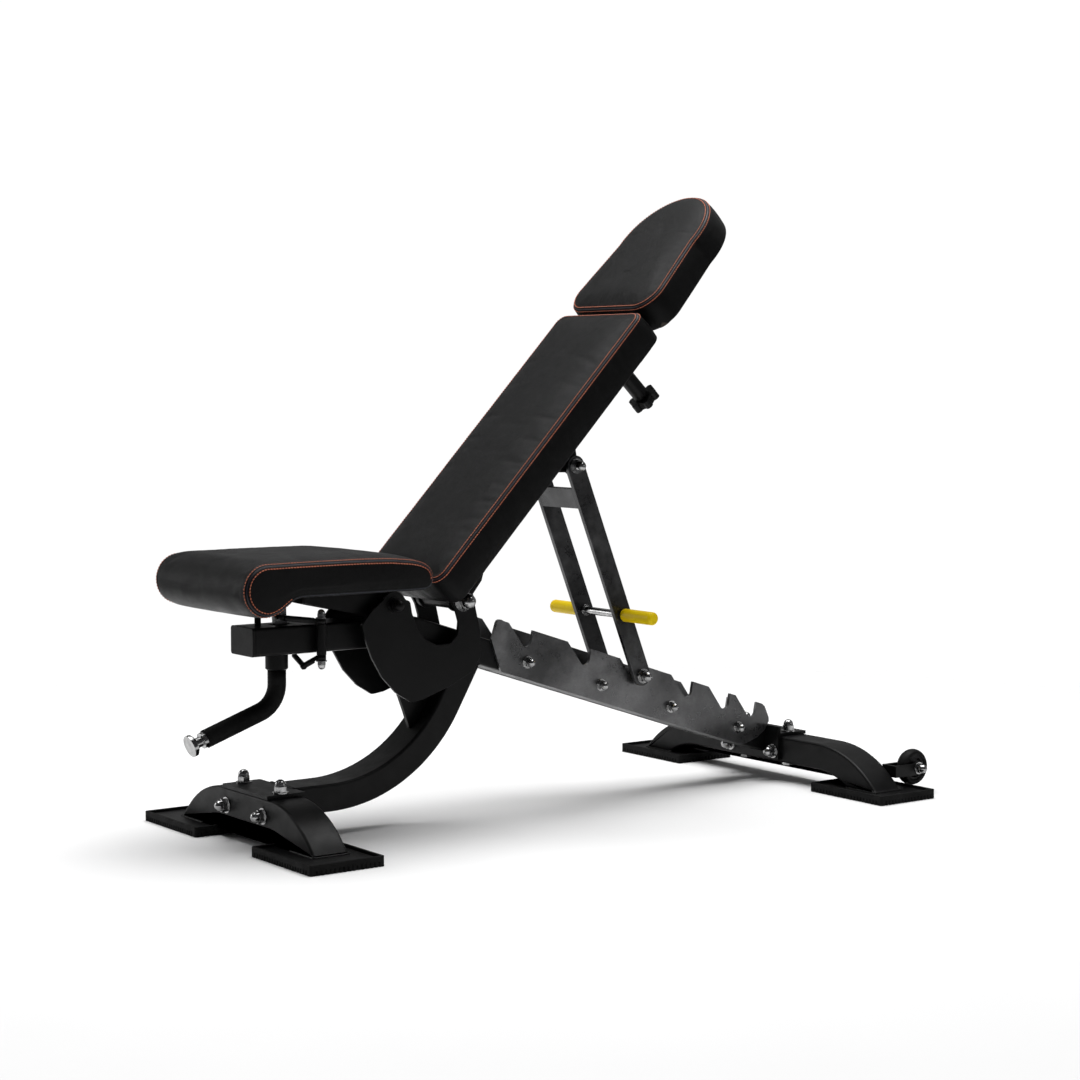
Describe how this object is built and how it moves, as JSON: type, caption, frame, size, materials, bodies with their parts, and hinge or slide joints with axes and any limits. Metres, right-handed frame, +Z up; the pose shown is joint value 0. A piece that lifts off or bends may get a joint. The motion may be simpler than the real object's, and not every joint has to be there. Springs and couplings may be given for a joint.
{
  "type": "adjustable weight bench",
  "caption": "Adjustable exercise bench: tilting seat, reclining backrest with sliding head pad, propped by pinned struts on a notched rack, on a curved steel frame with transport wheels.",
  "frame": {"origin": "middle of the overall box, on the floor", "axes": "+X from the seat end to the head end, +Y to the left looking along +X, +Z up"},
  "size_m": [1.2776, 0.7, 1.0263],
  "materials": {
    "black_coat": "satin",
    "grey_coat": "satin mottled",
    "zinc": "polished",
    "black_rubber": "matte",
    "black_leather": "grained",
    "plywood": "matte",
    "yellow_grip": "satin",
    "black_plastic": "matte",
    "tyre_rubber": "matte"
  },
  "bodies": {
    "frame": {"rubber_feet": "black_rubber", "foot_plates": "black_coat", "front_arch": "black_coat", "rear_arch": "black_coat", "front_bracket": "black_coat", "rear_bracket": "black_coat", "front_foot_bolts": "zinc", "rear_foot_bolts": "zinc", "main_tube": "black_coat", "seat_beam": "black_coat", "beam_cap": "black_plastic", "rear_beam": "black_coat", "web_gusset": "black_coat", "plate_spacers": "black_coat", "side_plate_left": "black_coat", "side_plate_right": "black_coat", "rack_left": "grey_coat", "rack_right": "grey_coat", "rack_bolts": "zinc", "hinge_bolt": "zinc", "seat_pivot_bolt": "black_coat", "seat_stop": "black_rubber", "latch_barrel": "black_coat", "handle_sleeve": "black_coat", "handle_tube": "black_coat", "handle_grip": "black_rubber", "handle_end_cap": "zinc", "wheel_brackets": "black_coat", "wheel_bolts": "zinc"},
    "latch": {"latch_arms": "black_coat", "latch_pin": "zinc"},
    "seat": {"seat_bracket": "black_coat", "seat_quadrant": "zinc", "seat_board": "plywood", "seat_pad": "black_leather"},
    "backrest": {"back_rails": "black_coat", "back_straps": "black_coat", "hinge_lugs": "black_coat", "strut_ears": "black_coat", "strut_pivot_bolt": "zinc", "slide_sleeve": "black_coat", "knob_post": "black_coat", "back_board": "plywood", "back_pad": "black_leather"},
    "head": {"head_slide": "black_coat", "head_board": "plywood", "head_pad": "black_leather"},
    "knob": {"star_knob": "black_plastic"},
    "strut": {"strut_left": "grey_coat", "strut_right": "grey_coat", "strut_cross_plate": "grey_coat", "strut_handle_rod": "zinc", "yellow_grips": "yellow_grip", "rack_pin": "zinc", "pin_sleeve": "black_plastic"},
    "wheel_left": {"hub_left": "black_plastic", "tyre_left": "tyre_rubber"},
    "wheel_right": {"hub_right": "black_plastic", "tyre_right": "tyre_rubber"}
  },
  "joints": [
    {"name": "back_recline", "type": "hinge", "parent": "frame", "child": "backrest", "pos_m": [-0.17821, 0, 0.358], "axis": [0, -1, 0], "range_deg": [0, 30]},
    {"name": "strut_swing", "type": "hinge", "parent": "backrest", "child": "strut", "pos_m": [0.04974, 0, 0.56707], "axis": [0, -1, 0], "range_deg": [-25, 0]},
    {"name": "seat_tilt", "type": "hinge", "parent": "frame", "child": "seat", "pos_m": [-0.30721, 0, 0.358], "axis": [0, 1, 0], "range_deg": [0, 13.5]},
    {"name": "latch_turn", "type": "hinge", "parent": "frame", "child": "latch", "pos_m": [-0.43021, -0.046, 0.31], "axis": [0, 0, 1], "range_deg": [0, 12], "stiffness_Nm_per_rad": 0.1, "springref_deg": -17.19},
    {"name": "head_slide", "type": "slide", "parent": "backrest", "child": "head", "axis": [0.6896, 0, 0.7242], "range_m": [0, 0.06]},
    {"name": "knob_turn", "type": "hinge", "parent": "backrest", "child": "knob", "pos_m": [0.22177, 0, 0.69102], "axis": [-0.7242, 0, 0.6896], "range_deg": [0, 360]},
    {"name": "wheel_left_spin", "type": "hinge", "parent": "frame", "child": "wheel_left", "pos_m": [0.60779, 0.279, 0.0428], "axis": [0, 1, 0], "continuous": true},
    {"name": "wheel_right_spin", "type": "hinge", "parent": "frame", "child": "wheel_right", "pos_m": [0.60779, -0.279, 0.0428], "axis": [0, 1, 0], "continuous": true}
  ],
  "couplings": [
    {"joint": "strut_swing", "follows": "back_recline", "ratio": -0.8}
  ]
}
